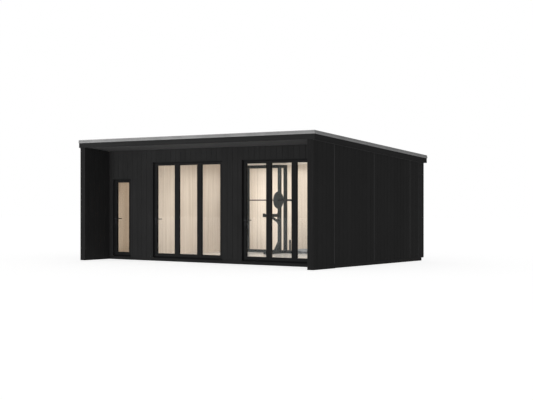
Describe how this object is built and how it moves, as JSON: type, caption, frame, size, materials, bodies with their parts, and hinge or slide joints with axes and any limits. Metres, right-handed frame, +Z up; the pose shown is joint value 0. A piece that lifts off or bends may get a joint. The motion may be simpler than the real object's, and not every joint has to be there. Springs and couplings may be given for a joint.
{
  "type": "garden gym and office pod",
  "caption": "Flat-clad black garden pod with a recessed glazed front under a canopy, a store behind a narrow door and a gym rack inside.",
  "frame": {"origin": "middle of the outline at ground level, under the base", "axes": "+X to the right seen from the front and along the width, +Y to the back, +Z up"},
  "size_m": [7.104, 5.05, 3],
  "materials": {
    "base": "dark treated timber",
    "floor_boards": "pale satin boards",
    "wall_panel": "framed and insulated panel",
    "black_cladding": "near-black vertical boards",
    "wood_lining": "pale birch-faced boards",
    "ceiling_boards": "pale boards",
    "roof_panel": "insulated roof panel",
    "roof_membrane": "dark roofing membrane",
    "soffit_boards": "near-black boards",
    "fascia_boards": "near-black boards",
    "grey_trim": "mid-grey folded metal",
    "dark_frame": "satin near-black powder coat",
    "pane": "clear double glazing",
    "black_fittings": "satin black",
    "rack_paint": "slate-grey powder coat",
    "bar_steel": "dark steel",
    "plate_rubber": "dark rubber",
    "step_plastic": "blue-grey"
  },
  "bodies": {
    "building": {"base_frame": "base", "floor_deck": "floor_boards", "left_wall": "wall_panel", "right_wall": "wall_panel", "back_wall": "wall_panel", "front_piers": "wall_panel", "front_headers": "wall_panel", "left_wing_wall": "black_cladding", "right_wing_wall": "black_cladding", "partition_wall": "wood_lining", "front_cladding": "black_cladding", "left_cladding": "black_cladding", "right_cladding": "black_cladding", "back_cladding": "black_cladding", "front_lining": "wood_lining", "side_linings": "wood_lining", "back_lining": "wood_lining", "ceiling_lining": "ceiling_boards", "roof_deck": "roof_panel", "roof_sheet": "roof_membrane", "canopy_soffit": "soffit_boards", "front_fascia": "fascia_boards", "side_fascias": "fascia_boards", "back_fascia": "fascia_boards", "front_trim": "grey_trim", "side_trims": "grey_trim", "back_trim": "grey_trim", "store_door_frame": "dark_frame", "store_door_hinges": "black_fittings", "middle_set_frame": "dark_frame", "middle_set_leaves": "dark_frame", "middle_set_glass": "pane", "right_set_frame": "dark_frame", "right_set_leaves": "dark_frame", "right_set_glass": "pane", "folding_set_handles": "black_fittings", "rack_side_frames": "rack_paint", "rack_crossbars": "rack_paint", "rack_arms": "rack_paint", "barbell": "bar_steel", "weight_plates": "plate_rubber", "low_step": "step_plastic"},
    "store_door": {"store_door_leaf": "dark_frame", "store_door_glass": "pane", "store_door_handle": "black_fittings"}
  },
  "joints": [
    {"name": "store_door_hinge", "type": "hinge", "parent": "building", "child": "store_door", "pos_m": [-2.6375, -1.592, 1.05], "axis": [0, 0, 1], "range_deg": [0, 100]}
  ]
}
